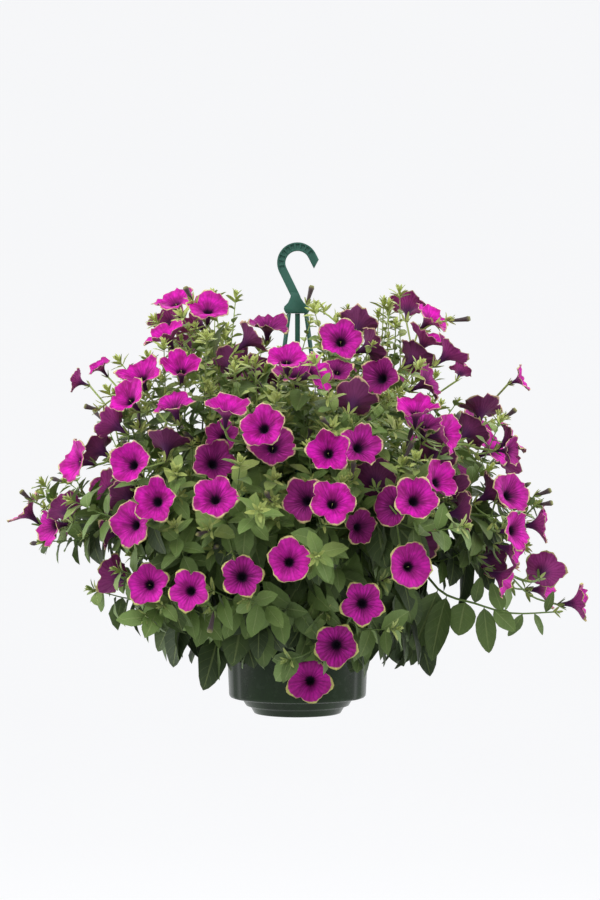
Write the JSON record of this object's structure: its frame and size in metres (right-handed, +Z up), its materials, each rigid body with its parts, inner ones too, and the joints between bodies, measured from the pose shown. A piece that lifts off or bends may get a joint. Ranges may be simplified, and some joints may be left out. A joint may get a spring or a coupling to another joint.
{
  "type": "petunia hanging basket",
  "caption": "Flowering petunia in a plastic hanging pot: a wide dome of leafy stems and magenta blooms that spills over the rim, with a moulded hook on thin arms to hang it by.",
  "frame": {"origin": "the point inside the top of the hook where it bears on what it hangs from, on the pot's axis", "axes": "+Z up along the pot's axis; +X to the right and -Y towards the viewer, with the hook's opening to the right"},
  "size_m": [0.7003, 0.6086, 0.564],
  "materials": {
    "pot_plastic": "smooth moulded dark green, slightly glossy",
    "hanger_plastic": "moulded dark blue-green, satin, with cross ribs on the hook",
    "potting_soil": "dark crumbly peat, matt",
    "leaf_green": "soft downy leaf, paler below, with a sunken midrib",
    "petal_magenta": "velvety magenta petal with darker veins, a near-black throat and a yellow-green edge"
  },
  "bodies": {
    "root": {"pot": "pot_plastic", "soil": "potting_soil", "hanger_hook": "hanger_plastic", "hanger_arm_1": "hanger_plastic", "hanger_arm_2": "hanger_plastic", "hanger_arm_3": "hanger_plastic", "leafy_stem_01": "leaf_green", "bloom_spray_01": "petal_magenta", "leafy_stem_02": "leaf_green", "bloom_spray_02": "petal_magenta", "leafy_stem_03": "leaf_green", "bloom_spray_03": "petal_magenta", "leafy_stem_04": "leaf_green", "bloom_spray_04": "petal_magenta", "leafy_stem_05": "leaf_green", "bloom_spray_05": "petal_magenta", "leafy_stem_06": "leaf_green", "bloom_spray_06": "petal_magenta", "leafy_stem_07": "leaf_green", "bloom_spray_07": "petal_magenta", "leafy_stem_08": "leaf_green", "bloom_spray_08": "petal_magenta", "leafy_stem_09": "leaf_green", "bloom_spray_09": "petal_magenta", "leafy_stem_10": "leaf_green", "bloom_spray_10": "petal_magenta", "leafy_stem_11": "leaf_green", "bloom_spray_11": "petal_magenta", "leafy_stem_12": "leaf_green", "bloom_spray_12": "petal_magenta", "leafy_stem_13": "leaf_green", "bloom_spray_13": "petal_magenta", "leafy_stem_14": "leaf_green", "bloom_spray_14": "petal_magenta", "leafy_stem_15": "leaf_green", "bloom_spray_15": "petal_magenta", "leafy_stem_16": "leaf_green", "bloom_spray_16": "petal_magenta", "leafy_stem_17": "leaf_green", "bloom_spray_17": "petal_magenta", "leafy_stem_18": "leaf_green", "bloom_spray_18": "petal_magenta", "leafy_stem_19": "leaf_green", "bloom_spray_19": "petal_magenta", "leafy_stem_20": "leaf_green", "bloom_spray_20": "petal_magenta", "leafy_stem_21": "leaf_green", "bloom_spray_21": "petal_magenta", "leafy_stem_22": "leaf_green", "bloom_spray_22": "petal_magenta", "leafy_stem_23": "leaf_green", "bloom_spray_23": "petal_magenta", "leafy_stem_24": "leaf_green", "bloom_spray_24": "petal_magenta", "leafy_stem_25": "leaf_green", "bloom_spray_25": "petal_magenta", "leafy_stem_26": "leaf_green", "bloom_spray_26": "petal_magenta", "leafy_stem_27": "leaf_green", "bloom_spray_27": "petal_magenta"}
  },
  "joints": []
}
